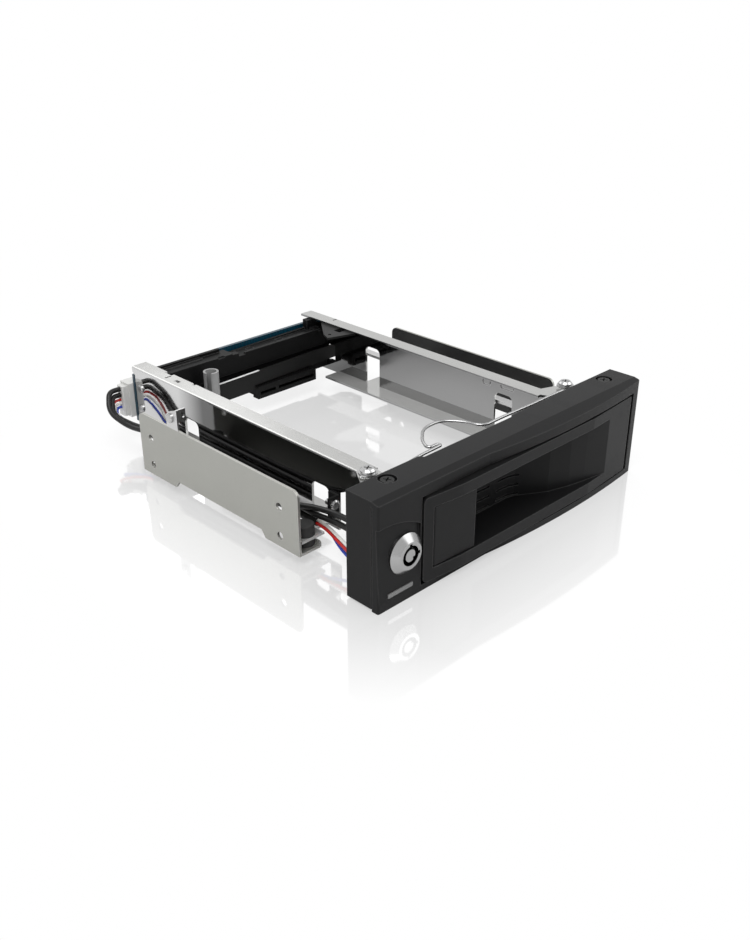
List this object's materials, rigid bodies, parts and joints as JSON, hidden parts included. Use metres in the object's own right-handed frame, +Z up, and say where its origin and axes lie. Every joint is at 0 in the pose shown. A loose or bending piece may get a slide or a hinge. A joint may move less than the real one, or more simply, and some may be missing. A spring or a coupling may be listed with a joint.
{
  "type": "hot swap drive cage",
  "caption": "Hot swap cage for a bare hard drive in a wide bay: swing door with finger pocket and key lock, plated drive channel on rubber dampers, grey bay brackets, backplane and eject lever",
  "frame": {"origin": "bottom centre of the bounding box", "axes": "+X to the right seen from the front, +Y towards the backplane, +Z up, millimetre model in metres"},
  "size_m": [0.1484, 0.1802, 0.0414],
  "materials": {
    "black_moulding": "satin moulded black with a fine grain",
    "black_sheet": "satin black coat on sheet steel",
    "plated_sheet": "bright nickel plate, nearly a mirror inside",
    "grey_sheet": "dull zinc plate",
    "spring_steel": "drawn spring steel",
    "black_screw": "black oxide",
    "bright_screw": "nickel plated",
    "steel_pin": "ground steel",
    "lock_chrome": "polished chrome",
    "zinc": "zinc plate",
    "light_pipe": "clear grey, unlit",
    "board_teal": "dark teal solder mask",
    "off_white_plastic": "natural nylon",
    "black_connector": "moulded black",
    "rubber": "soft black rubber",
    "grey_tube": "light grey sleeve",
    "guide_plastic": "black nylon",
    "lead_black": "black insulation",
    "lead_red": "red insulation",
    "lead_white": "white insulation",
    "lead_blue": "blue insulation"
  },
  "bodies": {
    "frame": {"bezel": "black_moulding", "bezel_screws": "black_screw", "lock_body": "lock_chrome", "lock_nut": "zinc", "led_light_pipe": "light_pipe", "led_board": "board_teal", "led_connector": "off_white_plastic", "key_switch": "black_connector", "switch_bracket": "black_sheet", "cage_side_left": "plated_sheet", "cage_side_right": "plated_sheet", "outer_bracket_left": "grey_sheet", "outer_bracket_right": "grey_sheet", "rubber_dampers": "rubber", "damper_screws": "bright_screw", "rear_wall": "black_moulding", "rear_wall_screws": "bright_screw", "corner_plate": "black_sheet", "backplane_board": "board_teal", "board_screws": "bright_screw", "drive_connector": "black_connector", "host_data_port": "black_connector", "host_power_port": "black_connector", "power_header": "off_white_plastic", "power_plug": "off_white_plastic", "retaining_wire": "spring_steel", "wire_washers": "bright_screw", "wire_screws": "bright_screw", "side_clip": "spring_steel", "side_clip_screw": "bright_screw", "guide_bracket": "black_sheet", "guide_bracket_screw": "bright_screw", "lever_bracket": "black_sheet", "lever_pin": "steel_pin", "link_guides": "guide_plastic", "lead_a": "lead_black", "lead_b": "lead_black", "wire_red": "lead_red", "wire_white": "lead_white", "wire_blue": "lead_blue", "harness_sleeve": "lead_black"},
    "door": {"door_panel": "black_moulding", "door_hinge_pins": "steel_pin", "paddle_pin": "steel_pin"},
    "paddle": {"door_paddle": "black_moulding"},
    "lock_plug": {"lock_plug": "lock_chrome", "lock_cam": "zinc", "cam_screw": "bright_screw"},
    "eject_lever": {"eject_lever": "black_sheet", "eject_sleeve": "grey_tube"},
    "eject_link": {"eject_link": "spring_steel"}
  },
  "joints": [
    {"name": "door_hinge", "type": "hinge", "parent": "frame", "child": "door", "pos_m": [0.0673, -0.0859, 0.0193], "axis": [0, 0, 1], "range_deg": [0, 95]},
    {"name": "paddle_hinge", "type": "hinge", "parent": "door", "child": "paddle", "pos_m": [-0.0469, -0.0872, 0.0193], "axis": [0, 0, -1], "range_deg": [0, 18], "stiffness_Nm_per_rad": 0.005},
    {"name": "lock_turn", "type": "hinge", "parent": "frame", "child": "lock_plug", "pos_m": [-0.0613, -0.0819, 0.0183], "axis": [0, -1, 0], "range_deg": [0, 90]},
    {"name": "lever_hinge", "type": "hinge", "parent": "frame", "child": "eject_lever", "pos_m": [0.064, 0.0711, 0.017], "axis": [0, 0, 1], "range_deg": [0, 12]},
    {"name": "link_slide", "type": "slide", "parent": "frame", "child": "eject_link", "axis": [0, -1, 0], "range_m": [0, 0.0023]}
  ],
  "couplings": [
    {"joint": "lever_hinge", "follows": "door_hinge", "ratio": 0.1263},
    {"joint": "link_slide", "follows": "door_hinge", "m_per_rad": 0.001385}
  ]
}
